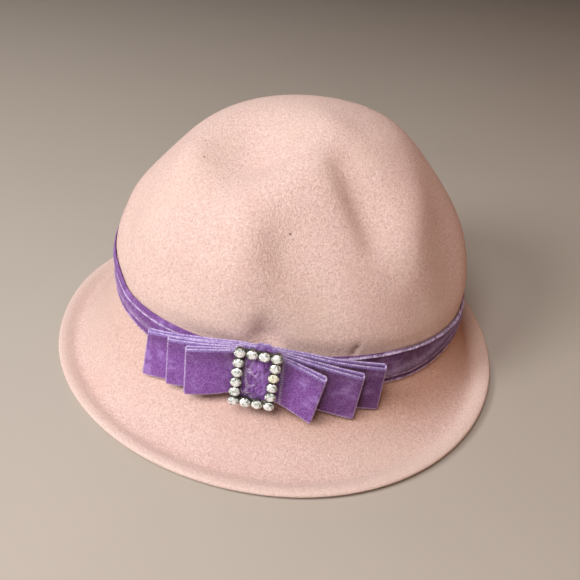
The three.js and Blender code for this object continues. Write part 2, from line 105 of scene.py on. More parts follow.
def mix(a, b, share):
    return a + (b - a) * share


def readTable(rows, at):
    for before, after in zip(rows, rows[1:]):
        if at <= after[0]:
            share = smoothStep(before[0], after[0], at)
            return [mix(a, b, share) for a, b in zip(before[1:], after[1:])]
    return rows[-1][1:]


# The crown's wall under the ribbon

def footAt(angle):
    across, deep = abs(math.cos(angle)), abs(math.sin(angle))
    reach = (across ** hat["squareness"] + deep ** hat["squareness"]) ** (-1 / hat["squareness"])
    return Vector((math.cos(angle) * hat["halfWidth"], math.sin(angle) * hat["halfDepth"])) * reach


def onOval(angle, stand=0.0):
    ahead = footAt(angle + hat["tangentStep"]) - footAt(angle - hat["tangentStep"])
    return footAt(angle) + Vector((ahead.y, -ahead.x)).normalized() * stand


def sideLift(x):
    return hat["sideLift"] * smoothStep(hat["sideLiftStart"], 1, -x / hat["halfWidth"])


# Height of the ribbon's top edge
def lineAt(x):
    return hat["lineHeight"] - math.tan(hat["lineTilt"]) * x + sideLift(x)


def inFrame(flat, height):
    return Vector((flat.x + hat["middle"][0], flat.y + hat["middle"][1], height))


# Angles round the oval at even lengths, from the middle of the bow
ovalSteps = 1440
ovalAngles = [hat["bowAngle"] + 2 * math.pi * i / ovalSteps for i in range(ovalSteps + 1)]
ovalLengths = [0.0]
for before, after in zip(ovalAngles, ovalAngles[1:]):
    ovalLengths.append(ovalLengths[-1] + (onOval(after) - onOval(before)).length)
ovalGirth = ovalLengths[-1]


def angleAtLength(length):
    wanted = length % ovalGirth
    low, high = 0, ovalSteps
    while high - low > 1:
        middle = (low + high) // 2
        if ovalLengths[middle] > wanted:
            high = middle
        else:
            low = middle
    share = (wanted - ovalLengths[low]) / (ovalLengths[high] - ovalLengths[low])
    return mix(ovalAngles[low], ovalAngles[high], share)


# Materials

def newMaterial(name):
    material = bpy.data.materials.new(name)
    material.use_nodes = True
    nodes = material.node_tree.nodes
    return material, nodes, material.node_tree.links, nodes["Principled BSDF"]


def noiseNode(nodes, links, vector, scale, detail=2.0, roughness=0.5):
    node = nodes.new("ShaderNodeTexNoise")
    node.inputs["Scale"].default_value = scale
    node.inputs["Detail"].default_value = detail
    node.inputs["Roughness"].default_value = roughness
    links.new(vector, node.inputs["Vector"])
    return node.outputs["Fac"]


def rampNode(nodes, links, value, stops):
    node = nodes.new("ShaderNodeValToRGB")
    ramp = node.color_ramp
    while len(ramp.elements) < len(stops):
        ramp.elements.new(0.5)
    for element, (place, colour) in zip(ramp.elements, stops):
        element.position = place
        element.color = (*colour, 1)
    links.new(value, node.inputs["Fac"])
    return node.outputs["Color"]


def mixColour(nodes, links, share, first, second, blend="MIX"):
    node = nodes.new("ShaderNodeMix")
    node.data_type = "RGBA"
    node.blend_type = blend
    for socket, value in ((node.inputs[0], share), (node.inputs[6], first), (node.inputs[7], second)):
        if isinstance(value, (int, float)):
            socket.default_value = value
        elif isinstance(value, tuple):
            socket.default_value = (*value, 1)
        else:
            links.new(value, socket)
    return node.outputs[2]


def mathNode(nodes, links, operation, first, second=0.0, third=None):
    node = nodes.new("ShaderNodeMath")
    node.operation = operation
    for socket, value in zip(node.inputs, (first, second, third)):
        if value is None:
            continue
        if isinstance(value, (int, float)):
            socket.default_value = value
        else:
            links.new(value, socket)
    return node.outputs[0]


def rangeNode(nodes, links, value, low, high, newLow=0.0, newHigh=1.0):
    node = nodes.new("ShaderNodeMapRange")
    node.interpolation_type = "SMOOTHSTEP"
    links.new(value, node.inputs["Value"])
    for key, number in (("From Min", low), ("From Max", high), ("To Min", newLow), ("To Max", newHigh)):
        node.inputs[key].default_value = number
    return node.outputs["Result"]


def setSockets(shader, values):
    for key, value in values.items():
        shader.inputs[key].default_value = value


def bumpNode(nodes, links, height, strength, distance, under=None):
    node = nodes.new("ShaderNodeBump")
    node.inputs["Strength"].default_value = strength
    node.inputs["Distance"].default_value = distance
    links.new(height, node.inputs["Height"])
    if under is not None:
        links.new(under, node.inputs["Normal"])
    return node.outputs["Normal"]


# Finishing touches to the dents: name, the two ends, the way they go in, how wide and how deep. A depth
# below zero fills the dent a little.
dents = [
    ("groove", (0.0235, -0.0350, 0.1275), (0.0380, -0.0565, 0.0985),
     (-0.35, 0.62, -0.70), 0.0072, 0.0016),
    ("thumb dent", (-0.0345, -0.0150, 0.1262), (-0.0245, -0.0228, 0.1216),
     (-0.3, 0.4, -0.85), 0.0120, 0.0017),
    ("middle hollow", (-0.0070, -0.0545, 0.1085), (-0.0020, -0.0660, 0.0880),
     (-0.2, 0.82, -0.5), 0.0120, 0.0014),
    ("dimple", (-0.0193, -0.0745, 0.0680), (-0.0193, -0.0745, 0.0640),
     (-0.2, 0.97, 0.1), 0.0065, -0.0008),
]


def dented(point):
    moved = Vector(point)
    for _, start, end, inwards, radius, deep in dents:
        line, out = Vector(end) - Vector(start), Vector(point) - Vector(start)
        share = min(1, max(0, out.dot(line) / line.length_squared))
        away = (out - line * share).length
        moved += Vector(inwards).normalized() * deep * math.exp(-(away / radius) ** 2)
    return moved


feltLook = {
    "fleck": (0.99, 0.77, 0.675),
    "light": (0.84, 0.605, 0.55),
    "dark": (0.61, 0.40, 0.345),
    # painted shade: the brown darkening of the brim beside the ribbon, where the crown's shadow lies
    "troughShade": (0.71, 0.54, 0.43),
    # painted highlight: the pale colour of the rim's rounded roll, where it catches the light
    "rim": (0.97, 0.79, 0.70),
    "cream": (0.80, 0.61, 0.52),
    "rose": (0.76, 0.49, 0.44),
    "lintAndShade": (0.16, 0.09, 0.075),
    # scale, detail and roughness of the noises
    "grain": (1500, 2, 0.7),
    "mottle": (760, 2, 0.6),
    "cloud": (24, 2, 0.5),
    "shares": (0.6, 0.4),     # of the grain and the mottle in the felt's tone
    "tones": (0.34, 0.52, 0.66),     # of the dark, light and fleck colours
    # cloud from and to, and the strength at each
    "creamPatches": (0.45, 0.7, 0, 0.35),
    "rosePatches": (0.5, 0.3, 0, 0.3),
    "rimHighlightShare": 0.4,     # how far the painted highlight turns the rim pale
    "markEdge": (0.5, 1.3),     # shares of its radius between which a mark fades out
    "markStrength": 0.85,
    "bumps": ((0.9, 0.0007), (0.35, 0.0008)),     # strength and depth of the grain and the mottle
    "sockets": {
        "Roughness": 0.95,
        "Specular IOR Level": 0.12,
        "Sheen Weight": 0.22,
        "Sheen Roughness": 0.6,
        "Sheen Tint": (1.0, 0.86, 0.80, 1),
    },
    # name, place in metres and radius of the dark marks on the felt: lint, and painted shade at the pucker's
    # two ends
    "marks": [
        ("lint on the top", (-0.0412, -0.0069, 0.1286), 0.0005),
        ("lint in the thumb dent", (-0.0415, -0.0183, 0.1250), 0.0006),
        ("lint in the hollow", (-0.0011, -0.0574, 0.1037), 0.0006),
        ("painted shade at the pucker's top", (0.0333, -0.0759, 0.0503), 0.0011),
        ("painted shade at the pucker's foot", (0.0318, -0.0760, 0.0470), 0.0012),
    ],
}


def feltMaterial():
    material, nodes, links, shader = newMaterial("dusty_pink_felt")
    look = feltLook
    place = nodes.new("ShaderNodeTexCoord").outputs["Object"]
    grain = noiseNode(nodes, links, place, *look["grain"])
    mottle = noiseNode(nodes, links, place, *look["mottle"])
    cloud = noiseNode(nodes, links, place, *look["cloud"])
    grainShare, mottleShare = look["shares"]
    both = mathNode(nodes, links, "ADD", mathNode(nodes, links, "MULTIPLY", grain, grainShare),
                    mathNode(nodes, links, "MULTIPLY", mottle, mottleShare))
    colours = (look["dark"], look["light"], look["fleck"])
    colour = rampNode(nodes, links, both, list(zip(look["tones"], colours)))
    creamy = rangeNode(nodes, links, cloud, *look["creamPatches"])
    colour = mixColour(nodes, links, creamy, colour, look["cream"])
    rosy = rangeNode(nodes, links, cloud, *look["rosePatches"])
    colour = mixColour(nodes, links, rosy, colour, look["rose"])
    paled, shaded = nodes.new("ShaderNodeAttribute"), nodes.new("ShaderNodeAttribute")
    paled.attribute_name, shaded.attribute_name = "rimHighlight", "troughShade"
    # painted highlight along the rim
    share = mathNode(nodes, links, "MULTIPLY", paled.outputs["Fac"], look["rimHighlightShare"])
    colour = mixColour(nodes, links, share, colour, look["rim"])
    # painted shade on the brim beside the ribbon, multiplied over the felt's colour
    colour = mixColour(nodes, links, shaded.outputs["Fac"], colour, look["troughShade"], "MULTIPLY")
    solid, gone = look["markEdge"]
    for _, middle, radius in look["marks"]:
        away = nodes.new("ShaderNodeVectorMath")
        away.operation = "DISTANCE"
        links.new(place, away.inputs[0])
        away.inputs[1].default_value = dented(middle)
        spot = rangeNode(nodes, links, away.outputs["Value"], radius * solid, radius * gone,
                         look["markStrength"], 0)
        # lint, and painted shade at the pucker's ends
        colour = mixColour(nodes, links, spot, colour, look["lintAndShade"])
    links.new(colour, shader.inputs["Base Color"])
    setSockets(shader, look["sockets"])
    grainBump, mottleBump = look["bumps"]
    fine = bumpNode(nodes, links, grain, *grainBump)
    links.new(bumpNode(nodes, links, mottle, *mottleBump, fine), shader.inputs["Normal"])
    return material


velvetLook = {
    "deep": (0.14, 0.043, 0.225),
    "bright": (0.37, 0.16, 0.55),
    "brushed": (0.47, 0.29, 0.72),
    "back": (0.34, 0.24, 0.60),
    "selvedge": (0.76, 0.65, 0.92),
    # painted shade: a deep plum multiplied over the velvet where it lies in shadow
    "paintedShadeColour": (0.36, 0.33, 0.22),
    # scale, detail and roughness of the noises
    "pile": (1500, 2, 0.7),
    "strokes": (260, 3, 0.6),
    "crush": (75, 2, 0.55),
    "tones": (0.36, 0.64),     # of the deep and bright colours
    # noise from and to, and the strength at each where it isn't 0 and 1
    "strokeAt": (0.42, 0.66),
    "crushAt": (0.38, 0.62),
    "stroke": 0.7,     # how far a brushed patch turns light
    "uneven": (0.35, 0.65, 1.15, 0.85),     # of the painted shade
    "weave": (0.35, 0.65, 0.35, 0.95),
    "broken": (0.36, 0.55, 0.35, 1),     # of the selvedges
    "pileGaps": (0.40, 0.57, 0.3, 1),     # of all pale lines
    "dashes": (-0.4, 0.6, 0.35, 1),     # of a fold's dotted line, along its sine
    # shares of edgeWidth, and the strength at each
    "topEdge": (1.4, 0.2, 0, 0.8),
    "bottomEdge": (1.7, 0.7, 0, 1),
    "backFade": 0.6,     # share of backWidth where the woven back shows in full
    "hemFade": 1.2,     # share of hem where it sets in
    "bumps": ((0.7, 0.0005), (0.3, 0.0008)),     # strength and depth of the pile and the strokes
    "sockets": {
        "Roughness": 0.75,
        "Specular IOR Level": 0.25,
        "Sheen Weight": 0.5,
        "Sheen Roughness": 0.35,
        "Sheen Tint": (0.72, 0.50, 0.95, 1),
    },
    # millimetres
    "edgeWidth": 0.55,
    "backWidth": 2.1,
    "dashLength": 1.4,
    "hem": 1.2,
    "covered": 40.0,     # added to fromTop where a top edge is tucked in and shows no selvedge
    "coveredFrom": (2, 1),     # how far below that the dotted lines turn solid
}


# A ribbon's points carry their distances from its top and bottom edge in millimetres, how much of a pale
# fold line they are, how much painted shade they carry, and how much of the woven back shows at the top
def velvetMaterial(name, look):
    material, nodes, links, shader = newMaterial(name)
    place = nodes.new("ShaderNodeTexCoord").outputs["Object"]

    def carried(key):
        node = nodes.new("ShaderNodeAttribute")
        node.attribute_name = key
        return node.outputs["Fac"]

    def times(first, second):
        return mathNode(nodes, links, "MULTIPLY", first, second)

    def most(first, second):
        return mathNode(nodes, links, "MAXIMUM", first, second)

    fromTop, fromBottom = carried("fromTop"), carried("fromBottom")
    fold, back = carried("fold"), carried("back")
    pile = noiseNode(nodes, links, place, *look["pile"])
    strokes = noiseNode(nodes, links, place, *look["strokes"])
    crush = noiseNode(nodes, links, place, *look["crush"])
    colour = rampNode(nodes, links, pile, list(zip(look["tones"], (look["deep"], look["bright"]))))
    stroke = times(rangeNode(nodes, links, strokes, *look["strokeAt"]),
                   rangeNode(nodes, links, crush, *look["crushAt"]))
    colour = mixColour(nodes, links, times(stroke, look["stroke"]), colour, look["brushed"])
    # painted shade: darker where the crown or a loop above shades the ribbon, and towards a loop's top
    wander = times(carried("shade"), rangeNode(nodes, links, crush, *look["uneven"]))
    colour = mixColour(nodes, links, wander, colour, look["paintedShadeColour"], "MULTIPLY")
    weave = rangeNode(nodes, links, pile, *look["weave"])
    reverse = rangeNode(nodes, links, fromTop, look["backWidth"], look["backWidth"] * look["backFade"])
    reverse = times(times(reverse, weave), back)
    colour = mixColour(nodes, links, reverse, colour, look["back"])
    dash = mathNode(nodes, links, "SINE", times(fromTop, 2 * math.pi / look["dashLength"]))
    dots = rangeNode(nodes, links, dash, *look["dashes"])
    fadeIn, solid = look["coveredFrom"]
    covered = rangeNode(nodes, links, fromTop, look["covered"] - fadeIn, look["covered"] - solid)
    dots = most(dots, covered)
    dots = most(dots, mathNode(nodes, links, "SUBTRACT", fold, 1.0))
    dots = most(dots, rangeNode(nodes, links, fromBottom, look["hem"] * look["hemFade"], look["hem"]))
    # pale fold lines: the worn end folds and creases, and on the band a painted highlight along its crease
    paled = times(fold, dots)
    broken = rangeNode(nodes, links, strokes, *look["broken"])

    def edgeLine(distance, key):
        outer, inner, low, high = look[key]
        width = look["edgeWidth"]
        return rangeNode(nodes, links, distance, width * outer, width * inner, low, high)

    edge = times(most(edgeLine(fromTop, "topEdge"), edgeLine(fromBottom, "bottomEdge")), broken)
    light = times(most(edge, paled), rangeNode(nodes, links, pile, *look["pileGaps"]))
    colour = mixColour(nodes, links, light, colour, look["selvedge"])
    links.new(colour, shader.inputs["Base Color"])
    setSockets(shader, look["sockets"])
    pileBump, strokeBump = look["bumps"]
    fine = bumpNode(nodes, links, pile, *pileBump)
    links.new(bumpNode(nodes, links, strokes, *strokeBump, fine), shader.inputs["Normal"])
    return material


metalLook = {
    "bright": (0.50, 0.49, 0.42),
    "tarnish": (0.12, 0.12, 0.09),
    # scale, detail and roughness of the noises
    "patches": (650, 4, 0.65),
    "pits": (2600, 2, 0.6),
    "tones": (0.42, 0.7),     # of the tarnish and the bright metal
    "polish": (0.3, 0.7, 0.6, 0.28),     # patch from and to, and the roughness at each
    "metallic": 0.9,
    "bumps": ((0.3, 0.00008), (0.3, 0.0002)),     # strength and depth of the pits and the patches
}


def metalMaterial():
    material, nodes, links, shader = newMaterial("tarnished_cast_metal")
    look = metalLook
    place = nodes.new("ShaderNodeTexCoord").outputs["Object"]
    patch = noiseNode(nodes, links, place, *look["patches"])
    pits = noiseNode(nodes, links, place, *look["pits"])
    colour = rampNode(nodes, links, patch, list(zip(look["tones"], (look["tarnish"], look["bright"]))))
    links.new(colour, shader.inputs["Base Color"])
    links.new(rangeNode(nodes, links, patch, *look["polish"]), shader.inputs["Roughness"])
    shader.inputs["Metallic"].default_value = look["metallic"]
    pitBump, patchBump = look["bumps"]
    fine = bumpNode(nodes, links, pits, *pitBump)
    links.new(bumpNode(nodes, links, patch, *patchBump, fine), shader.inputs["Normal"])
    return material


# Facets of a foiled stone are bright or dark by the way that they return the light; each face carries its
# share of it as its tone
stoneLook = {
    "clear": [
        (0.0, (0.08, 0.09, 0.07)),
        (0.3, (0.26, 0.29, 0.24)),
        (0.5, (0.78, 0.86, 0.82)),
        (0.75, (1.0, 1.0, 1.0)),
    ],
    "yellow": [
        (0.0, (0.08, 0.08, 0.03)),
        (0.3, (0.31, 0.30, 0.15)),
        (0.5, (0.82, 0.80, 0.56)),
        (0.75, (1.0, 1.0, 0.86)),
    ],
    "cells": 900,
    "shares": (0.45, 0.55),     # of the face's tone and of the cells inside it
    "haze": (1400, 2, 0.5),     # scale, detail and roughness of the noise
    "polish": (0.3, 0.7, 0.04, 0.12),     # haze from and to, and the roughness at each
    "sockets": {"Specular IOR Level": 0.9, "Coat Weight": 1.0, "Coat Roughness": 0.02},
}


def stoneMaterial(name, stops):
    material, nodes, links, shader = newMaterial(name)
    look = stoneLook
    place = nodes.new("ShaderNodeTexCoord").outputs["Object"]
    tone = nodes.new("ShaderNodeAttribute")
    tone.attribute_name = "tone"
    haze = noiseNode(nodes, links, place, *look["haze"])
    cells = nodes.new("ShaderNodeTexVoronoi")
    cells.inputs["Scale"].default_value = look["cells"]
    links.new(place, cells.inputs["Vector"])
    split = nodes.new("ShaderNodeSeparateColor")
    links.new(cells.outputs["Color"], split.inputs[0])
    faceShare, cellShare = look["shares"]
    mixed = mathNode(nodes, links, "ADD", mathNode(nodes, links, "MULTIPLY", tone.outputs["Fac"], faceShare),
                     mathNode(nodes, links, "MULTIPLY", split.outputs["Red"], cellShare))
    links.new(rampNode(nodes, links, mixed, stops), shader.inputs["Base Color"])
    links.new(rangeNode(nodes, links, haze, *look["polish"]), shader.inputs["Roughness"])
    setSockets(shader, look["sockets"])
    return material


felt = feltMaterial()
velvet = velvetMaterial("purple_velvet", velvetLook)
metal = metalMaterial()
clearStone = stoneMaterial("foiled_glass_clear", stoneLook["clear"])
yellowStone = stoneMaterial("foiled_glass_pale_yellow", stoneLook["yellow"])
print("materials made")


# Camera, lights and floor

view = {
    "place": (-0.030641, -0.325085, 0.258459),
    "turn": (55.266, -3.220, -4.345),
    "lens": 41.40,
    "sensor": 36,
    "clipStart": 0.01,
}


def makeCamera():
    camera = bpy.data.objects.new("camera", bpy.data.cameras.new("camera"))
    bpy.context.scene.collection.objects.link(camera)
    camera.location = view["place"]
    camera.rotation_euler = [math.radians(angle) for angle in view["turn"]]
    camera.data.lens = view["lens"]
    camera.data.sensor_width = view["sensor"]
    camera.data.clip_start = view["clipStart"]
    bpy.context.scene.camera = camera


studio = {
    # direction and height in degrees, distance and size in metres
    "lights": {
        "window": {
            "from": (-152, 36), "distance": 1.2, "size": 0.4,
            "power": 8.6, "colour": (1.0, 0.975, 0.965),
        },
        "front": {
            "from": (-119, 54), "distance": 1.3, "size": 0.6,
            "power": 10.8, "colour": (1.0, 0.96, 0.95),
        },
        "back": {
            "from": (130, 35), "distance": 1.3, "size": 0.9,
            "power": 1.7, "colour": (1.0, 0.94, 0.90),
        },
        "warmWall": {
            "from": (-8, 16), "distance": 1.3, "size": 1.2,
            "power": 2.7, "colour": (1.0, 0.34, 0.05),
        },
    },
    "aim": (0, 0, 0.06),
    "sky": {"colour": (1.0, 0.56, 0.32), "strength": 0.023},
    "floor": (0.52, 0.47, 0.41),
    "floorSize": 6,
    "floorDrop": 0.0002,
    "floorPatches": (6, 3, 0.6),     # scale, detail and roughness of the noise
    "floorTones": (0.3, 0.7),
    "floorDark": 0.97,     # share of the floor's colour in its darker patches
    "floorRoughness": 0.8,
}


def makeLight(name, values):
    data = bpy.data.lights.new(name, "AREA")
    data.shape = "DISK"
    data.size = values["size"]
    data.energy = values["power"]
    data.color = values["colour"]
    light = bpy.data.objects.new(name, data)
    bpy.context.scene.collection.objects.link(light)
    around, up = (math.radians(angle) for angle in values["from"])
    towards = Vector((math.cos(around) * math.cos(up), math.sin(around) * math.cos(up), math.sin(up)))
    light.location = Vector(studio["aim"]) + towards * values["distance"]
    light.rotation_euler = towards.to_track_quat("Z", "Y").to_euler()


def makeStudio():
    for name, values in studio["lights"].items():
        makeLight(name, values)
    world = bpy.data.worlds.new("soft_room")
    bpy.context.scene.world = world
    world.use_nodes = True
    background = world.node_tree.nodes["Background"]
    background.inputs["Color"].default_value = (*studio["sky"]["colour"], 1)
    background.inputs["Strength"].default_value = studio["sky"]["strength"]
    bpy.context.scene.view_settings.view_transform = "Standard"
    startClean()
    bpy.ops.mesh.primitive_plane_add(size=studio["floorSize"], location=(0, 0, -studio["floorDrop"]))
    floor = named("floor")
    applyPlace(floor)
    material, nodes, links, shader = newMaterial("pale_floor")
    place = nodes.new("ShaderNodeTexCoord").outputs["Object"]
    tone = noiseNode(nodes, links, place, *studio["floorPatches"])
    low = tuple(value * studio["floorDark"] for value in studio["floor"])
    stops = list(zip(studio["floorTones"], (low, studio["floor"])))
    links.new(rampNode(nodes, links, tone, stops), shader.inputs["Base Color"])
    shader.inputs["Roughness"].default_value = studio["floorRoughness"]
    floor.data.materials.append(material)


makeCamera()
makeStudio()
print("camera, lights and floor made")


# Felt body

feltShape = {
    "levels": 2,
    # the pucker where the ribbon's edge pulls the felt: middle, direction along it, and sizes
    "pucker": {
        "middle": (0.0325, -0.0759, 0.0487),
        "along": (0.35, 0.0, 0.94),
        "half": 0.0045,
        "narrow": 0.0014,
        "deep": 0.0012,
    },
    # the rounded roll along the rim, in metres in from its edge
    "crest": (0.0044, 0.0042, 0.0014),     # where it is, how wide and how high
    "edge": (0.0024, 0.0004),     # how wide the edge turns down, and how far
    "paled": (0.0110, 0.0060),     # from where and to where the rim's painted highlight sets in
    "rimStep": 2,     # degrees between the places where the rim is measured
    # shares of the brim's reach
    "brimFrom": (-0.05, 0.03),     # where the painted shade on the brim sets in
    "troughAt": 0.14,
    # degrees round the crown, how dark the painted shade in the trough beside the ribbon is, and how wide
    "troughShades": [
        (-180, 0.20, 0.25),
        (-115, 0.25, 0.25),
        (-80, 0.70, 0.25),
        (-40, 0.90, 0.36),
        (0, 1.10, 0.90),
        (60, 0.80, 0.90),
        (180, 0.20, 0.25),
    ],
}


# Where each point lies on the brim: its angle, how far out it is as a share (0 or less on the crown, and 1
# at the rim), and how far in from the rim
def brimPlaces(mesh):
    sized = []
    for vertex in mesh.vertices:
        x, y = vertex.co.x - hat["middle"][0], vertex.co.y - hat["middle"][1]
        power = hat["squareness"]
        size = (abs(x / hat["halfWidth"]) ** power + abs(y / hat["halfDepth"]) ** power) ** (1 / power)
        sized.append((math.degrees(math.atan2(y, x)), size, math.hypot(x, y)))
    rims = {}
    step, steps = feltShape["rimStep"], 360 // feltShape["rimStep"]
    for degrees, size, radius in sized:
        key = round(degrees / step) % steps
        known = rims.get(key, (0, 0))
        rims[key] = (max(known[0], size), max(known[1], radius))
    places = []
    for degrees, size, radius in sized:
        low = math.floor(degrees / step)
        first, second = rims[low % steps], rims[(low + 1) % steps]
        rimSize, rimRadius = (mix(first[i], second[i], degrees / step - low) for i in (0, 1))
        places.append((degrees, (size - 1) / (rimSize - 1), rimRadius - radius))
    return places


def makeFelt():
    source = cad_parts["felt_body"]
    piece = bpy.data.objects.new("felt_hat_body", source.data.copy())
    bpy.context.scene.collection.objects.link(piece)
    select(piece)
    bpy.ops.object.mode_set(mode="EDIT")
    bpy.ops.mesh.select_all(action="SELECT")
    bpy.ops.mesh.remove_doubles(threshold=weldDistance)
    bpy.ops.mesh.tris_convert_to_quads(face_threshold=math.pi, shape_threshold=math.pi)
    bpy.ops.object.mode_set(mode="OBJECT")
    addModifier(piece, "SUBSURF", levels=feltShape["levels"], render_levels=feltShape["levels"])
    applyModifiers(piece)
    bpy.ops.object.shade_smooth()
    for vertex in piece.data.vertices:
        vertex.co = dented(vertex.co)
    pucker = feltShape["pucker"]
    middle, along = Vector(pucker["middle"]), Vector(pucker["along"]).normalized()
    for vertex in piece.data.vertices:
        away = vertex.co - middle
        if away.length > 3 * pucker["half"] or vertex.normal.y > 0:
            continue
        length = away.dot(along)
        beside = (away - along * length).length
        deep = math.exp(-(beside / pucker["narrow"]) ** 2 - (length / pucker["half"]) ** 2)
        vertex.co -= vertex.normal * pucker["deep"] * deep
    rimHighlight = piece.data.attributes.new("rimHighlight", "FLOAT", "POINT").data
    troughShade = piece.data.attributes.new("troughShade", "FLOAT", "POINT").data
    crestAt, crestWidth, crestHigh = feltShape["crest"]
    edgeWidth, edgeDrop = feltShape["edge"]
    for vertex, (degrees, share, inwards) in zip(piece.data.vertices, brimPlaces(piece.data)):
        vertex.co.z += crestHigh * math.exp(-((inwards - crestAt) / crestWidth) ** 2)
        vertex.co.z -= edgeDrop * math.exp(-(inwards / edgeWidth) ** 2)
        # painted highlight along the rim's roll
        rimHighlight[vertex.index].value = smoothStep(*feltShape["paled"], inwards)
        # painted shade: the brim beside the ribbon is darkened, most on the right
        dark, width = readTable(feltShape["troughShades"], degrees)
        inTrough = math.exp(-((share - feltShape["troughAt"]) / width) ** 2)
        onBrim = smoothStep(*feltShape["brimFrom"], share) if vertex.co.z < lineAt(vertex.co.x) else 0
        troughShade[vertex.index].value = inTrough * onBrim * dark
    piece.data.materials.clear()
    piece.data.materials.append(felt)
    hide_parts("felt_body")
    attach(piece, "root")
    return piece


feltBody = makeFelt()
print("felt body made:", len(feltBody.data.polygons), "faces")


# Nap: short wool fibres that stand off the felt's outer side

nap = {
    "count": 44000,
    "length": 0.0015,
    "width": 0.00005,
    "sizes": (0.5, 1.25),
    "lean": (0.5, 1.35),     # radians off the upright
    "seed": 5,
    # the outer side faces up by more than the first, or outwards and not too far down
    "facing": (0.2, 0.3, -0.5),
}


def isOuter(vertex):
    out = Vector((vertex.co.x - hat["middle"][0], vertex.co.y - hat["middle"][1], 0)).normalized()
    towards = vertex.normal
    up, outwards, down = nap["facing"]
    return towards.z > up or (towards.dot(out) > outwards and towards.z > down)


def makeFibre():
    startClean()
    bpy.ops.mesh.primitive_plane_add(size=1)
    fibre = named("fibre")
    bpy.ops.object.mode_set(mode="EDIT")
    bpy.ops.transform.resize(value=(nap["width"], nap["length"], 1), center_override=(0, 0, 0))
    bpy.ops.transform.translate(value=(0, nap["length"] / 2, 0))
    bpy.ops.transform.rotate(value=math.pi / 2, orient_axis="X", center_override=(0, 0, 0))
    bpy.ops.object.mode_set(mode="OBJECT")
    return fibre


def napNodes(fibre, density):
    tree = bpy.data.node_groups.new("wool_nap", "GeometryNodeTree")
    tree.interface.new_socket("Geometry", in_out="INPUT", socket_type="NodeSocketGeometry")
    tree.interface.new_socket("Geometry", in_out="OUTPUT", socket_type="NodeSocketGeometry")

    def add(kind, **values):
        node = tree.nodes.new(kind)
        for key, value in values.items():
            node.inputs[key].default_value = value
        return node

    start, end = add("NodeGroupInput"), add("NodeGroupOutput")
    outer = add("GeometryNodeInputNamedAttribute", Name="outer")
    scatter = add("GeometryNodeDistributePointsOnFaces", Seed=nap["seed"])
    thick = add("ShaderNodeMath")
    thick.operation = "MULTIPLY"
    thick.inputs[1].default_value = density
    spin = add("FunctionNodeRandomValue", Seed=1)
    spin.data_type = "FLOAT_VECTOR"
    spin.inputs["Min"].default_value = (nap["lean"][0], 0, -math.pi)
    spin.inputs["Max"].default_value = (nap["lean"][1], 0, math.pi)
    size = add("FunctionNodeRandomValue", Seed=2)
    size.inputs[2].default_value, size.inputs[3].default_value = nap["sizes"]
    turn = add("FunctionNodeRotateRotation")
    turn.rotation_space = "LOCAL"
    shape = add("GeometryNodeObjectInfo")
    shape.inputs["Object"].default_value = fibre
    place = add("GeometryNodeInstanceOnPoints")
    real = add("GeometryNodeRealizeInstances")
    toTurn = add("FunctionNodeEulerToRotation")
    links = tree.links
    links.new(start.outputs[0], scatter.inputs["Mesh"])
    links.new(outer.outputs["Attribute"], thick.inputs[0])
    links.new(thick.outputs[0], scatter.inputs["Density"])
    links.new(scatter.outputs["Points"], place.inputs["Points"])
    links.new(shape.outputs["Geometry"], place.inputs["Instance"])
    links.new(spin.outputs[0], toTurn.inputs[0])
    links.new(scatter.outputs["Rotation"], turn.inputs["Rotation"])
    links.new(toTurn.outputs[0], turn.inputs["Rotate By"])
    links.new(turn.outputs[0], place.inputs["Rotation"])
    links.new(size.outputs[1], place.inputs["Scale"])
    links.new(place.outputs[0], real.inputs[0])
    links.new(real.outputs[0], end.inputs[0])
    return tree


def makeNap():
    piece = feltBody.copy()
    piece.data = feltBody.data.copy()
    bpy.context.scene.collection.objects.link(piece)
    piece.name = "felt_nap"
    mesh = piece.data
    mesh.name = "felt_nap"
    outer = mesh.attributes.new("outer", "FLOAT", "POINT")
    for vertex, value in zip(mesh.vertices, outer.data):
        value.value = 1.0 if isOuter(vertex) else 0.0
    area = sum(face.area for face in mesh.polygons if all(outer.data[v].value for v in face.vertices))
    fibre = makeFibre()
    modifier = addModifier(piece, "NODES")
    modifier.node_group = napNodes(fibre, nap["count"] / area)
    applyModifiers(piece)
    bpy.data.objects.remove(fibre)
    piece.data.materials.clear()
    piece.data.materials.append(felt)
    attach(piece, "root")
    return piece


napPiece = makeNap()
print("nap made:", len(napPiece.data.polygons), "faces")


# Ribbons: a grid laid along its path. The looks are functions of the place on it, from 0 to 1 along and up
# the ribbon, and back is how much of its woven back shows at the top.

def nowhere(share, side):
    return 0.0


def layRibbon(name, along, across, place, looks, closed=False):
    startClean()
    bpy.ops.mesh.primitive_grid_add(x_subdivisions=along, y_subdivisions=across, size=2)
    piece = named(name)
    mesh = piece.data
    shares = [((v.co.x + 1) / 2, (v.co.y + 1) / 2) for v in mesh.vertices]
    width, fold, shade = looks["width"], looks.get("fold", nowhere), looks.get("shade", nowhere)
    covered = looks.get("covered", 0)
    values = {
        "fromTop": [(1 - side) * width(share) * millimetres + covered for share, side in shares],
        "fromBottom": [side * width(share) * millimetres for share, side in shares],
        "fold": [fold(share, side) for share, side in shares],
        "shade": [shade(share, side) for share, side in shares],
        "back": [looks["back"]] * len(shares),
    }
    for vertex, (share, side) in zip(mesh.vertices, shares):
        vertex.co = place(share, side)
    for key, row in values.items():
        mesh.attributes.new(key, "FLOAT", "POINT").data.foreach_set("value", row)
    if closed:
        select(piece)
        bpy.ops.object.mode_set(mode="EDIT")
        bpy.ops.mesh.select_all(action="SELECT")
        bpy.ops.mesh.remove_doubles(threshold=weldDistance)
        bpy.ops.object.mode_set(mode="OBJECT")
    addModifier(piece, "SOLIDIFY", thickness=looks["thickness"], offset=0)
    addModifier(piece, "SUBSURF", levels=1, render_levels=1)
    return piece


def finishRibbon(piece, material, replaced):
    applyModifiers(piece)
    bpy.ops.object.shade_smooth()
    piece.data.materials.append(material)
    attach(piece, "root")
    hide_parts(replaced)


# Ribbon band

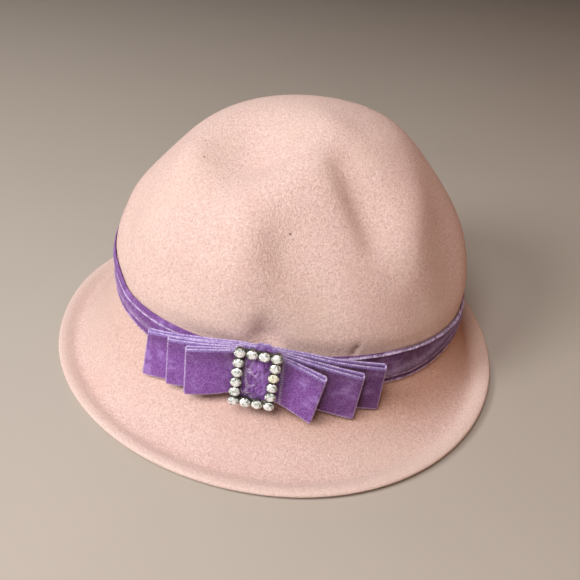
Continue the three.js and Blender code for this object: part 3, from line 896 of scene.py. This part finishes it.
band = {
    "thickness": 0.0007,
    "tuck": 0.07,
    "flatWidth": 0.023,
    "steps": (300, 12),     # round the crown, and down each strip
    "ripple": 0.0003,
    "rippleScale": 90,
    "rippleAside": (0.05, 0.006),     # how far the ripple moves on from strip to strip, and down one
    "leastStand": 0.0004,
    "edgeShare": 0.65,     # its selvedges look wider than the bow's
    # degrees, the painted shade (darkest on the right, in the crown's shadow), and the height of the long
    # crease's painted highlight in the middle strip
    "pile": [
        (-180, 0.3, 0.2),
        (-110, 0.3, 0.2),
        (-95, 0.4, 0.1),
        (-75, 0.8, 0.12),
        (-55, 1.0, 0.3),
        (-40, 1.0, 0.55),
        (-20, 1.0, 0.75),
        (60, 0.8, 0.8),
        (120, 0.4, 0.5),
        (180, 0.3, 0.2),
    ],
    "creaseWidth": 0.15,
    "creaseLight": 0.3,
    # degrees round the crown, width as a share of the band's, the two pleat edges down from its top,
    # and how far it rides up
    "pleats": [
        (-180, 0.72, 0.24, 0.66, 0.0),
        (-150, 0.76, 0.24, 0.68, 0.0),
        (-120, 0.90, 0.20, 0.72, 0.0),
        (-90, 1.00, 0.10, 0.80, 0.0004),
        (-60, 0.96, 0.07, 0.82, 0.0014),
        (-30, 0.66, 0.07, 0.60, 0.0019),
        (0, 0.45, 0.10, 0.50, 0.0012),
        (90, 0.62, 0.20, 0.60, 0.0),
        (180, 0.72, 0.24, 0.66, 0.0),
    ],
    # name, upper and lower edge as index into (top, upper, lower, bottom), how far each stands off, and
    # how strongly the painted highlight along the long crease shows
    "strips": [
        ("ribbon_band_upper", 0, 1, 0.00045, 0.0018, 0.0),
        ("ribbon_band_middle", 1, 2, 0.0007, 0.0020, 1.0),
        ("ribbon_band_lower", 2, 3, 0.0007, 0.0015, 0.0),
    ],
}


def makeBand():
    strips = []

    def degreesAt(share):
        angle = hat["bowAngle"] + math.pi + share * 2 * math.pi
        return angle, (math.degrees(angle) + 180) % 360 - 180

    # Painted shade round the band, darkest on the right where the crown's shadow falls
    def shadeAt(share, side):
        return readTable(band["pile"], degreesAt(share)[1])[0]

    for order, (name, top, bottom, standTop, standBottom, creaseHighlight) in enumerate(band["strips"]):
        def stripAt(share, top=top, bottom=bottom):
            angle, degrees = degreesAt(share)
            width, upper, lower, lift = readTable(band["pleats"], degrees)
            edges = (0.0, upper, lower, 1.0)
            start = edges[top] - (band["tuck"] if top else 0)
            full = hat["bandWidth"] * width + sideLift(onOval(angle).x) - hat["clearance"]
            return angle, start, edges[bottom], full, lift

        def widthAt(share, stripAt=stripAt):
            _, start, end, full, _ = stripAt(share)
            return full * (end - start) * band["edgeShare"]

        def place(share, side, stripAt=stripAt, standTop=standTop, standBottom=standBottom, order=order):
            angle, start, end, full, lift = stripAt(share)
            down = mix(end, start, side)
            here = onOval(angle)
            perStrip, perWidth = band["rippleAside"]
            spot = Vector((here.x, here.y, order * perStrip + down * perWidth))
            rippled = noise.noise(spot * band["rippleScale"]) * band["ripple"]
            stand = max(mix(standBottom, standTop, side) + rippled * (1 - side), band["leastStand"])
            return inFrame(onOval(angle, stand), lineAt(here.x) + lift - full * down)

        # Painted highlight along the long crease in the middle strip
        def creaseAt(share, side, creaseHighlight=creaseHighlight):
            height = readTable(band["pile"], degreesAt(share)[1])[1]
            near = math.exp(-((side - height) / band["creaseWidth"]) ** 2)
            return near * creaseHighlight * band["creaseLight"]

        looks = {
            "width": widthAt, "fold": creaseAt, "shade": shadeAt, "back": 0.0,
            "covered": velvetLook["covered"], "thickness": band["thickness"],
        }
        strip = layRibbon(name, *band["steps"], place, looks, True)
        applyModifiers(strip)
        strips.append(strip)
    select(*strips)
    bpy.ops.object.join()
    piece = named("ribbon_band_velvet")
    finishRibbon(piece, velvet, "ribbon_band")


makeBand()
print("ribbon band made")


# Bow

bow = {
    "ribbonWidth": 0.028,
    "ribbonThickness": 0.001,
    "drop": 0.0078,
    "lean": 0.0015,
    "foldGap": 0.0005,
    "plyGap": 0.00035,
    "held": 0.0155,
    "bandThickness": 0.0021,
    "flareCurve": 1.1,
    "hangCurve": 1.4,
    # from the felt outwards: name, then for left and right the reach, stand, drop, slant, lean, rise and
    # how far the lower edge is gathered up at the tab
    "loops": [
        ("bow_loop_long",
         (1.96, 0.375, 0.38, 0.09, 0.14, 0.03, 0.0), (2.1, 0.40, 0.20, -0.04, 0.0, 0.06, 0.0)),
        ("bow_loop_middle",
         (1.45, 0.455, 0.21, 0.03, 0.10, 0.03, 0.0), (1.655, 0.52, 0.26, -0.10, 0.0, 0.06, 0.0)),
        ("bow_loop_short",
         (1.08, 0.55, 0.17, 0.03, 0.08, 0.03, 0.09), (0.975, 0.63, 0.24, -0.20, 0.04, 0.06, 0.0)),
    ],
    # for each loop, left and right: how much painted shade its middle, its upper part and its held part
    # carry
    "pile": [
        ((0.0, 0.35, 0.3), (0.55, 0.3, 0.5)),
        ((0.0, 0.35, 0.35), (0.35, 0.3, 0.6)),
        ((0.0, 0.45, 0.35), (0.0, 0.3, 0.15)),
    ],
    # shares of the height and the length between which the upper and the held part set in
    "upperPart": (0.55, 0.95),
    "heldPart": (0.45, 0.0),
    "shadow": (0.8, 0.006),     # painted shadow beside a loop that lies over it on the right: how dark, and how wide
    "foldEnd": 0.62,     # how far round the fold its worn line runs
    # where the top loop comes out beside the buckle
    "creaseAt": 0.0119,
    "creaseEdge": (0.0007, 0.0001),
    "creaseLight": 2,
    "hemEdge": (0.05, 0.015),     # shares of the height
    "hemLight": (0.35, 0.9),     # left and right
    "plySteps": 26,
    "foldSteps": 7,
    "acrossSteps": 16,
    "sway": 0.0006,
    "swayScale": (60, 1.3, 7, 0.2),     # along, up, from loop to loop and from ply to ply
}

plyStep = bow["ribbonThickness"] + bow["plyGap"]
bowSeat = 2 * hat["clearance"] + bow["bandThickness"] + bow["lean"] / 4


# The closed line that a loop follows, seen from above: a list of place, length, stand, far and back
def loopLine(left, right, layer):
    base = bowSeat + layer * 2 * plyStep + plyStep + bow["ribbonThickness"] / 2

    def sideOf(place):
        return left if place < 0 else right

    def reachAt(place):
        return sideOf(place)[0] * bow["ribbonWidth"]

    def free(place):
        held, reach = bow["held"] / 2, reachAt(place)
        return max(0, (abs(place) * reach - held) / (reach - held))

    def front(place):
        fold = sideOf(place)[1] * bow["ribbonWidth"] - bow["ribbonThickness"] / 2
        return mix(base, fold, free(place) ** bow["flareCurve"])

    def gap(place):
        return plyStep + (bow["foldGap"] - bow["plyGap"]) * free(place)

    def foldOf(side):
        points = []
        radius = gap(side) / 2
        for step in range(1, bow["foldSteps"] + 1):
            share = step / (bow["foldSteps"] + 1)
            turn = math.pi * (share if side > 0 else 1 - share)
            length = side * (reachAt(side) + radius * math.sin(turn))
            stand = front(side) - radius + radius * math.cos(turn)
            points.append((side, length, stand, 1.0, (1 - math.cos(turn)) / 2))
        return points

    places = [i / bow["plySteps"] - 1 for i in range(2 * bow["plySteps"] + 1)]
    outer = [(p, p * reachAt(p), front(p), free(p), 0.0) for p in places]
    inner = [(p, p * reachAt(p), front(p) - gap(p), free(p), 1.0) for p in reversed(places)]
    line = outer + foldOf(1) + inner + foldOf(-1)
    return line + line[:1]


def makeLoop(name, left, right, layer):
    line = loopLine(left, right, layer)
    width = bow["ribbonWidth"]

    def pointAt(share):
        return line[round(share * (len(line) - 1))]

    def place(share, side):
        where, length, stand, far, back = pointAt(share)
        _, _, drop, slant, lean, rise, gather = left if where < 0 else right
        height = side - 0.5
        length += -height * slant * width * far * math.copysign(1, where)
        stand += -height * mix(bow["lean"], lean * width, far)
        alongScale, upScale, perLoop, perPly = bow["swayScale"]
        sway = noise.noise(Vector((length * alongScale, height * upScale, layer * perLoop + back * perPly)))
        stand += sway * bow["sway"] * far * (1 - far) * 4
        flat = onOval(angleAtLength(length))
        outward = onOval(angleAtLength(length), 1) - flat
        flat = flat + outward * stand
        gathered = gather * (1 - far) ** 2 * max(0, -height * 2)
        down = drop * far ** bow["hangCurve"] - rise * far * back - height - gathered
        return inFrame(flat, lineAt(flat.x) - bow["drop"] - down * width)

    # The worn line of each end fold, the light along the lower edge, and the crease where the top loop comes
    # out beside the buckle
    def folds(share, side):
        where, length, _, far, back = pointAt(share)
        atEnd = 1.0 if far == 1.0 and 0.0 < back < bow["foldEnd"] else 0.0
        hem = smoothStep(*bow["hemEdge"], side) * bow["hemLight"][0 if where < 0 else 1]
        if layer < len(bow["loops"]) - 1 or back > 0.0:
            return max(atEnd, hem)
        crease = bow["creaseLight"] * smoothStep(*bow["creaseEdge"], abs(length - bow["creaseAt"]))
        return max(atEnd, crease, hem)

    # Painted shade: darker on the right, towards the top, near the tab, and where the loop above shades it
    def shadeAt(share, side):
        where, alongBow, _, far, _ = pointAt(share)
        middle, upper, held = bow["pile"][layer][0 if where < 0 else 1]
        shaded = middle + upper * smoothStep(*bow["upperPart"], side)
        shaded += held * smoothStep(*bow["heldPart"], far)
        if where > 0 and layer < len(bow["loops"]) - 1:
            dark, wide = bow["shadow"]
            _, _, rightAbove = bow["loops"][layer + 1]
            over = rightAbove[0] * width
            shaded += dark * smoothStep(over + wide, over, alongBow)
        return shaded

    looks = {
        "width": lambda _: width, "fold": folds, "shade": shadeAt, "back": 1.0,
        "thickness": bow["ribbonThickness"],
    }
    piece = layRibbon(name + "_velvet", len(line) - 1, bow["acrossSteps"], place, looks, True)
    finishRibbon(piece, velvet, name)
    return piece


for layer, (loopName, leftSide, rightSide) in enumerate(bow["loops"]):
    makeLoop(loopName, leftSide, rightSide, layer)
print("bow made")


# Buckle, in its own frame: X along the bow, Y up, Z outwards, with the stones' girdles at Z 0. The frame is
# found from the stones' nodes, which run from the top left by rows.

buckle = {
    "pitch": 0.0058,
    "columns": 4,
    "rows": 6,
    "barHeight": 0.0013,
    "barWidth": 0.0034,
    "barLow": -0.0027,
    "cupHeight": 0.00245,
    "cupTop": 0.00278,
    "cupFoot": 0.0023,
    "cupWall": 0.00026,
    "cupDeep": 0.0014,
    "cupNarrow": 0.45,     # the cup's floor as a share of its mouth
    "cupSides": 24,
    "cupTurn": 23,     # degrees from one cup to the next
    "claws": 4,
    "clawAt": 0.00262,
    "clawSize": (0.00026, 0.0004, 0.0005),
    "clawHeight": 0.00012,
    "clawLean": -0.5,     # radians
    "clawSteps": (10, 6),     # round it, and from pole to pole
    # width and steps of the rounded edges
    "barBevel": (0.0003, 2),
    "cupBevel": (0.00009, 2),
    # degrees
    "cupBevelFrom": 35,
    "smoothUpTo": 38,
}


def cornersOf(name):
    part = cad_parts[name]
    return [part.matrix_world @ vertex.co for vertex in part.data.vertices]


def findBuckleFrame():
    middles = {}
    for number in (1, 4, 13):
        corners = cornersOf(f"stone_{number:02d}")
        middles[number] = sum(corners, Vector()) / len(corners)
    right = (middles[4] - middles[1]).normalized()
    up = middles[1] - middles[13]
    up = (up - right * up.dot(right)).normalized()
    out = right.cross(up)
    every = [corner for number in range(1, 17) for corner in cornersOf(f"stone_{number:02d}")]
    spans = [[corner.dot(axis) for corner in every] for axis in (right, up, out)]
    girdle = min(spans[2]) + stone["pavilion"]
    origin = right * (min(spans[0]) + max(spans[0])) / 2 + up * (min(spans[1]) + max(spans[1])) / 2
    origin += out * girdle
    turn = Matrix((right, up, out)).transposed().to_4x4()
    return Matrix.Translation(origin) @ turn


stone = {
    "radius": 0.0027,
    "crown": 0.001,
    "pavilion": 0.0017,
    # rings of points from the table down: count, radius and height as shares, and turn in degrees
    "rings": [
        (8, 0.56, 1.0, 22.5),
        (8, 0.79, 0.62, 0.0),
        (16, 1.0, 0.0, 11.25),
        (8, 0.55, -0.42, 11.25),
    ],
    "yellow": (8,),
    "tip": 0.01,     # share of the radius
    "turn": 17,     # degrees from one stone to the next
    "tableFrom": 0.99,     # how straight up a table's face points
    "tableTone": 0.8,
    "facetTone": (0.55, 0.15),     # towards which tone the other facets go, and how far
    "toneScale": 4000,
    "toneAside": (5.3, 2.9),     # how far the tones move on from one stone to the next
    # degrees: from one stone to the next, the span that they stay in, and the share of it that is used
    "tilt": (37, 11, 0.8),
}


def stonePlaces():
    places = []
    for row in range(buckle["rows"]):
        for column in range(buckle["columns"]):
            if row in (0, buckle["rows"] - 1) or column in (0, buckle["columns"] - 1):
                x = (column - (buckle["columns"] - 1) / 2) * buckle["pitch"]
                y = ((buckle["rows"] - 1) / 2 - row) * buckle["pitch"]
                places.append((x, y))
    return places


def faces(piece, test):
    bpy.ops.object.mode_set(mode="EDIT")
    bpy.ops.mesh.select_mode(type="FACE")
    bpy.ops.mesh.select_all(action="DESELECT")
    bpy.ops.object.mode_set(mode="OBJECT")
    for face in piece.data.polygons:
        face.select = test(face)
    bpy.ops.object.mode_set(mode="EDIT")


def makeStone(number, place):
    startClean()
    radius = stone["radius"]
    bpy.ops.mesh.primitive_circle_add(vertices=3, radius=radius * stone["tip"],
                                      location=(0, 0, -stone["pavilion"]))
    piece = named(f"stone_{number:02d}_cut")
    applyPlace(piece)
    bpy.ops.object.mode_set(mode="EDIT")
    for count, share, height, turn in stone["rings"]:
        z = height * (stone["crown"] if height > 0 else stone["pavilion"])
        bpy.ops.mesh.primitive_circle_add(vertices=count, radius=radius * share, location=(0, 0, z),
                                          rotation=(0, 0, math.radians(turn + number * stone["turn"])))
    bpy.ops.mesh.select_all(action="SELECT")
    bpy.ops.mesh.convex_hull()
    bpy.ops.mesh.normals_make_consistent(inside=False)
    bpy.ops.object.mode_set(mode="OBJECT")
    tone = piece.data.attributes.new("tone", "FLOAT", "FACE")
    for face, value in zip(piece.data.polygons, tone.data):
        aside = Vector((number * stone["toneAside"][0], number * stone["toneAside"][1], 0))
        chance = noise.cell(face.center * stone["toneScale"] + aside) * 0.5 + 0.5
        isTable = face.normal.z > stone["tableFrom"]
        value.value = stone["tableTone"] if isTable else mix(chance, *stone["facetTone"])
    tiltStep, span, used = stone["tilt"]
    tilt = Matrix.Rotation(math.radians((number * tiltStep) % span - span // 2) * used, 4, "X")
    piece.data.transform(buckleTurn @ Matrix.Translation((*place, 0)) @ tilt)
    piece.data.materials.append(yellowStone if number in stone["yellow"] else clearStone)
    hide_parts(f"stone_{number:02d}")
    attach(piece, "root")
    return piece


def makeBars():
    startClean()
    bpy.ops.mesh.primitive_plane_add(size=1)
    bars = named("bars")
    wide = (buckle["columns"] - 1) * buckle["pitch"] + buckle["barWidth"]
    high = (buckle["rows"] - 1) * buckle["pitch"] + buckle["barWidth"]
    bpy.ops.object.mode_set(mode="EDIT")
    bpy.ops.transform.resize(value=(wide, high, 1), center_override=(0, 0, 0))
    bpy.ops.mesh.inset(thickness=buckle["barWidth"])
    bpy.ops.mesh.delete(type="FACE")
    bpy.ops.mesh.select_all(action="SELECT")
    bpy.ops.mesh.extrude_region_move(TRANSFORM_OT_translate={"value": (0, 0, buckle["barHeight"])})
    bpy.ops.mesh.select_all(action="SELECT")
    bpy.ops.transform.translate(value=(0, 0, buckle["barLow"]))
    bpy.ops.mesh.normals_make_consistent(inside=False)
    bpy.ops.object.mode_set(mode="OBJECT")
    width, segments = buckle["barBevel"]
    addModifier(bars, "BEVEL", width=width, segments=segments)
    applyModifiers(bars)
    return bars


def makeCup():
    startClean()
    middle = buckle["barLow"] + buckle["cupHeight"] / 2
    bpy.ops.mesh.primitive_cone_add(vertices=buckle["cupSides"], radius1=buckle["cupFoot"],
                                    radius2=buckle["cupTop"], depth=buckle["cupHeight"],
                                    location=(0, 0, middle))
    cup = named("cup")
    applyPlace(cup)
    faces(cup, lambda face: face.normal.z > 0.9)
    bpy.ops.mesh.inset(thickness=buckle["cupWall"])
    bpy.ops.mesh.extrude_region_move(TRANSFORM_OT_translate={"value": (0, 0, -buckle["cupDeep"])})
    bpy.ops.transform.resize(value=(buckle["cupNarrow"], buckle["cupNarrow"], 1))
    bpy.ops.object.mode_set(mode="OBJECT")
    width, segments = buckle["cupBevel"]
    limit = math.radians(buckle["cupBevelFrom"])
    addModifier(cup, "BEVEL", width=width, segments=segments, angle_limit=limit)
    applyModifiers(cup)
    claws = []
    around, rings = buckle["clawSteps"]
    for number in range(buckle["claws"]):
        turn = math.radians(360 / buckle["claws"] * (number + 0.5))
        at = (math.cos(turn) * buckle["clawAt"], math.sin(turn) * buckle["clawAt"], buckle["clawHeight"])
        bpy.ops.mesh.primitive_uv_sphere_add(segments=around, ring_count=rings, radius=1, location=at,
                                             rotation=(0, buckle["clawLean"], turn))
        claw = named("claw")
        claw.scale = buckle["clawSize"]
        applyPlace(claw)
        claws.append(claw)
    select(cup, *claws)
    bpy.ops.object.join()
    return cup


def makeBuckleFrame():
    bars, cup = makeBars(), makeCup()
    parts = [bars]
    for number, place in enumerate(stonePlaces(), 1):
        part = bpy.data.objects.new("cup", cup.data.copy())
        bpy.context.scene.collection.objects.link(part)
        turn = Matrix.Rotation(math.radians(number * buckle["cupTurn"]), 4, "Z")
        part.data.transform(Matrix.Translation((*place, 0)) @ turn)
        parts.append(part)
    bpy.data.objects.remove(cup)
    select(*parts)
    bpy.ops.object.join()
    piece = named("buckle_frame_cast")
    piece.data.transform(buckleTurn)
    select(piece)
    bpy.ops.object.shade_smooth_by_angle(angle=math.radians(buckle["smoothUpTo"]))
    piece.data.materials.append(metal)
    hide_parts("buckle_frame")
    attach(piece, "root")
    return piece


buckleTurn = findBuckleFrame()
makeBuckleFrame()
for stoneNumber, stonePlace in enumerate(stonePlaces(), 1):
    makeStone(stoneNumber, stonePlace)
print("buckle and stones made")


# Centre tab: a crumpled strip of the same velvet, pressed down by the buckle's bars, with a frayed end that
# shows over the buckle's upper edge

tab = {
    "width": 0.0155,
    "height": 0.0345,
    "front": -0.0038,     # of the plain strip, in the buckle's frame
    "steps": (64, 130),
    "bulge": 0.0011,
    "window": (0.0069, 0.0125),
    # shares of the window between which the bulge sets in
    "fadeAcross": (1.05, 0.55),
    "fadeUp": (1.02, 0.75),
    "crumple": 0.0006,
    "crumpleScale": (230, 120),
    "ridges": 0.7,
    "ridgeScale": 2.1,
    "creaseScale": (420, 150),
    "creaseEdge": (0.22, 0.06),
    "creasedLeft": (0.002, -0.001),     # the creases fade out between these places
    "foot": -0.01715,
    "frayedFrom": -0.0008,
    "frayedTo": 0.0052,
    "frayed": 0.0022,
    "frayedEdge": 0.0008,
    "uneven": (0.4, 900),     # the frayed end's, as a share and a scale
    "threads": 16,
    "threadSize": 0.00007,
    "threadSteps": 4,
    "threadLean": (1.2, 1.6),     # share of its length, and how late it leans
    "threadLong": (0.0012, 0.0014),     # at least, and how much more by chance
    "threadFoot": 0.8,     # share of the frayed end
    "threadWave": 0.0004,
    "threadLift": 0.0003,
    "threadLight": 0.7,
    "thickness": 0.0006,
}


def makeTab():
    def place(share, side):
        x = (share - 0.5) * tab["width"]
        frayed = smoothStep(tab["frayedFrom"] - tab["frayedEdge"], tab["frayedFrom"], x)
        frayed *= smoothStep(tab["frayedTo"] + tab["frayedEdge"], tab["frayedTo"], x)
        unevenShare, unevenScale = tab["uneven"]
        uneven = 1 + unevenShare * noise.noise(Vector((x * unevenScale, 0, 3)))
        y = tab["foot"] + side * (tab["height"] + tab["frayed"] * frayed * uneven)
        inside = smoothStep(*tab["fadeAcross"], abs(x) / tab["window"][0])
        inside *= smoothStep(*tab["fadeUp"], abs(y) / tab["window"][1])
        grain = Vector((x * tab["crumpleScale"][0] + 4, y * tab["crumpleScale"][1], 1.7))
        ridge = abs(noise.noise(grain * tab["ridgeScale"] + Vector((5, 0, 0))))
        crumple = noise.noise(grain) + tab["ridges"] * ridge * 2 - 0.5
        z = tab["front"] + inside * (tab["bulge"] + tab["crumple"] * crumple)
        return buckleTurn @ Vector((x, y, z))

    # Light crease lines in the strip's left half
    def folds(share, side):
        x, y = (share - 0.5) * tab["width"], side * tab["height"]
        line = abs(noise.noise(Vector((x * tab["creaseScale"][0], y * tab["creaseScale"][1], 2.3))))
        return smoothStep(*tab["creaseEdge"], line) * smoothStep(*tab["creasedLeft"], x)

    looks = {"width": lambda _: tab["height"], "fold": folds, "back": 1.0, "thickness": tab["thickness"]}
    piece = layRibbon("centre_tab_velvet", *tab["steps"], place, looks)
    applyModifiers(piece)
    threads = [piece]
    for number in range(tab["threads"]):
        start = mix(tab["frayedFrom"], tab["frayedTo"], (number + 0.5) / tab["threads"])
        threads.append(makeThread(number, start))
    select(*threads)
    bpy.ops.object.join()
    finishRibbon(piece, velvet, "centre_tab")


def makeThread(number, start):
    curve = bpy.data.curves.new("thread", "CURVE")
    curve.dimensions = "3D"
    curve.bevel_depth = tab["threadSize"]
    curve.bevel_resolution = 0
    spline = curve.splines.new("POLY")
    spline.points.add(tab["threadSteps"])
    most, late = tab["threadLean"]
    lean = noise.noise(Vector((number * 1.7, 0, 0))) * most
    least, more = tab["threadLong"]
    long = least + more * abs(noise.noise(Vector((number * 2.3, 4, 0)))) * 2
    foot = tab["foot"] + tab["height"] + tab["frayed"] * tab["threadFoot"]
    for step, point in enumerate(spline.points):
        share = step / tab["threadSteps"]
        x = start + lean * long * share ** late
        wave = tab["threadWave"] * noise.noise(Vector((number * 3.1, share * 2, 0)))
        z = tab["front"] + wave + tab["threadLift"] * share
        point.co = (*(buckleTurn @ Vector((x, foot + long * share, z))), 1)
    strand = bpy.data.objects.new("thread", curve)
    bpy.context.scene.collection.objects.link(strand)
    select(strand)
    bpy.ops.object.convert(target="MESH")
    strand = bpy.context.object
    light = [tab["threadLight"]] * len(strand.data.vertices)
    strand.data.attributes.new("fold", "FLOAT", "POINT").data.foreach_set("value", light)
    return strand


makeTab()
print("centre tab made")
